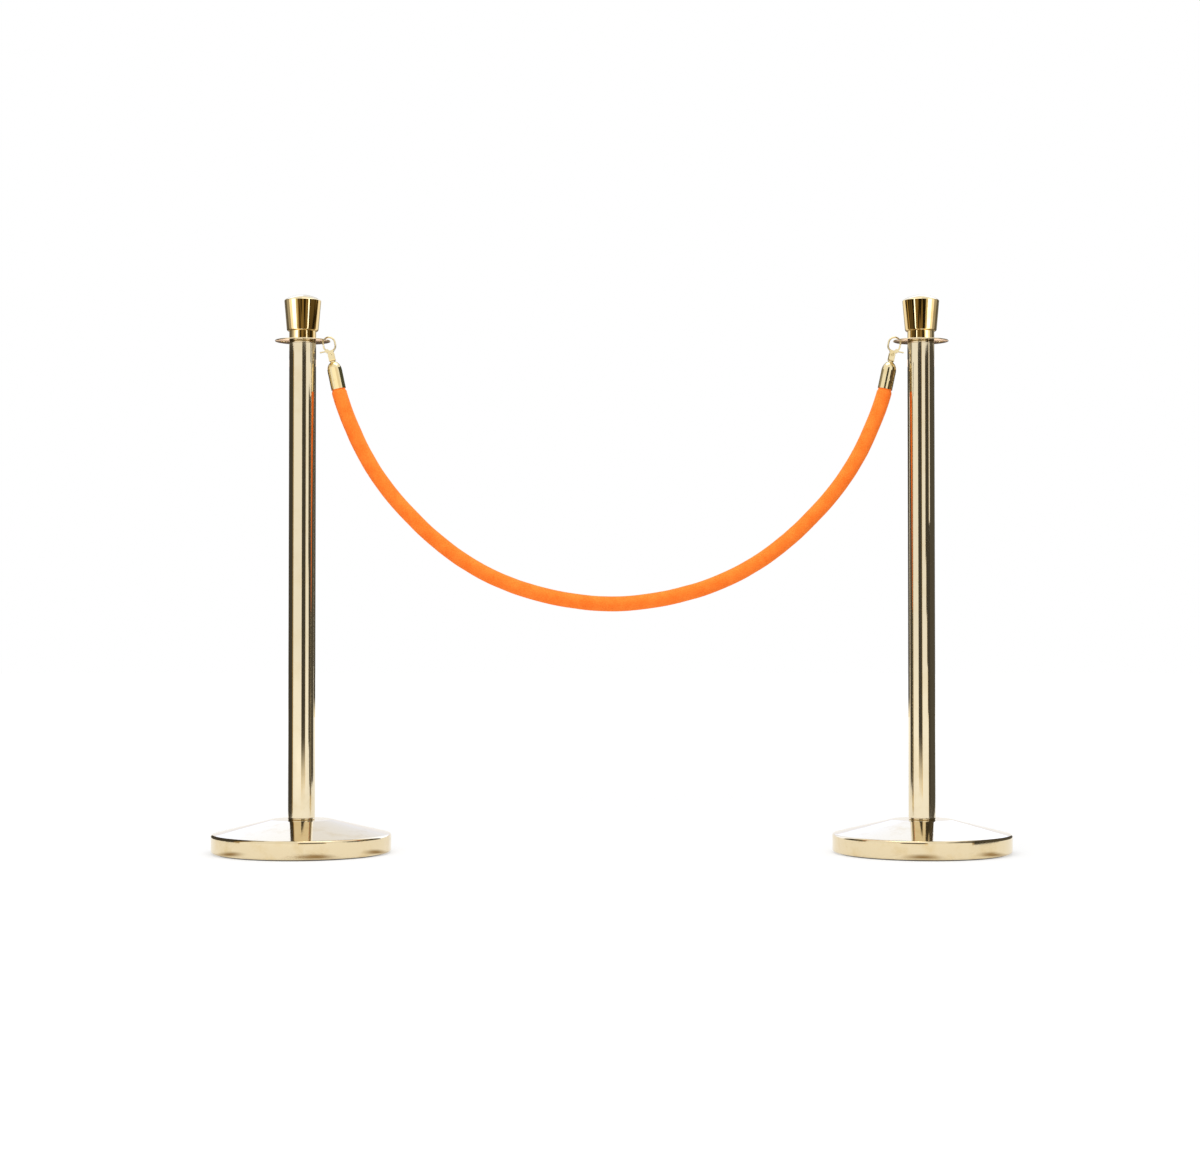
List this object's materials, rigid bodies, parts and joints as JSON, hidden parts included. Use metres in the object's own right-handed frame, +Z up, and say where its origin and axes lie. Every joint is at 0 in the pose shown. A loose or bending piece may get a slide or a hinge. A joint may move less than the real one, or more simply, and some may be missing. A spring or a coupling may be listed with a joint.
{
  "type": "rope barrier stanchion",
  "caption": "Pair of polished gold barrier posts on round weighted bases, with crown tops and drilled collars, joined by a hanging plush rope on swivel snap hooks.",
  "frame": {"origin": "on the floor, midway between the two posts", "axes": "+X from the left post to the right post, +Y to the back, away from the viewer, +Z up"},
  "size_m": [1.43, 0.32, 1],
  "materials": {
    "plated_tube": "mirror polished, pale gold plating",
    "plated_sheet": "mirror polished, pale gold plating",
    "crown_brass": "mirror polished",
    "hook_brass": "polished",
    "cast_weight": "as cast, painted dark",
    "foot_rubber": "matte",
    "plain_steel": "bright zinc",
    "plug_wood": "turned",
    "rope_filling": "soft filling",
    "rope_plush": "short orange plush pile"
  },
  "bodies": {
    "posts": {"left_base_cover": "plated_sheet", "left_base_weight": "cast_weight", "left_foot_ring": "foot_rubber", "left_base_bolt": "plain_steel", "left_base_washer": "plain_steel", "left_tube_seat": "plated_tube", "left_bottom_plug": "plain_steel", "left_post_tube": "plated_tube", "left_top_plug": "plain_steel", "left_collar_seat": "plated_tube", "left_collar": "plated_sheet", "left_crown_insert": "plain_steel", "left_crown_stud": "plain_steel", "left_crown": "crown_brass", "right_base_cover": "plated_sheet", "right_base_weight": "cast_weight", "right_foot_ring": "foot_rubber", "right_base_bolt": "plain_steel", "right_base_washer": "plain_steel", "right_tube_seat": "plated_tube", "right_bottom_plug": "plain_steel", "right_post_tube": "plated_tube", "right_top_plug": "plain_steel", "right_collar_seat": "plated_tube", "right_collar": "plated_sheet", "right_crown_insert": "plain_steel", "right_crown_stud": "plain_steel", "right_crown": "crown_brass"},
    "rope": {"rope_core": "rope_filling", "rope_sleeve": "rope_plush", "left_yoke": "hook_brass", "left_claw": "hook_brass", "left_yoke_rivet": "hook_brass", "left_gate_pin": "plain_steel", "left_gate_spring": "plain_steel", "right_yoke": "hook_brass", "right_claw": "hook_brass", "right_yoke_rivet": "hook_brass", "right_gate_pin": "plain_steel", "right_gate_spring": "plain_steel"},
    "left_rope_end": {"left_end_cap": "hook_brass", "left_cap_plug": "plug_wood", "left_cap_screw": "hook_brass", "left_swivel_stem": "hook_brass"},
    "left_gate": {"left_gate": "hook_brass"},
    "right_rope_end": {"right_end_cap": "hook_brass", "right_cap_plug": "plug_wood", "right_cap_screw": "hook_brass", "right_swivel_stem": "hook_brass"},
    "right_gate": {"right_gate": "hook_brass"}
  },
  "joints": [
    {"name": "rope_swing", "type": "hinge", "parent": "posts", "child": "rope", "pos_m": [0, 0, 0.918], "axis": [1, 0, 0], "range_deg": [-40, 40]},
    {"name": "left_swivel", "type": "hinge", "parent": "rope", "child": "left_rope_end", "pos_m": [-0.50789, 0, 0.9132], "axis": [0.2079, 0, -0.9781], "continuous": true},
    {"name": "left_gate_hinge", "type": "hinge", "parent": "rope", "child": "left_gate", "pos_m": [-0.51116, 0, 0.89863], "axis": [0, 1, 0], "range_deg": [0, 35], "stiffness_Nm_per_rad": 0.05, "springref_deg": -11.46},
    {"name": "right_swivel", "type": "hinge", "parent": "rope", "child": "right_rope_end", "pos_m": [0.50789, 0, 0.9132], "axis": [-0.2079, 0, -0.9781], "continuous": true},
    {"name": "right_gate_hinge", "type": "hinge", "parent": "rope", "child": "right_gate", "pos_m": [0.51116, 0, 0.89863], "axis": [0, -1, 0], "range_deg": [0, 35], "stiffness_Nm_per_rad": 0.05, "springref_deg": -11.46}
  ]
}
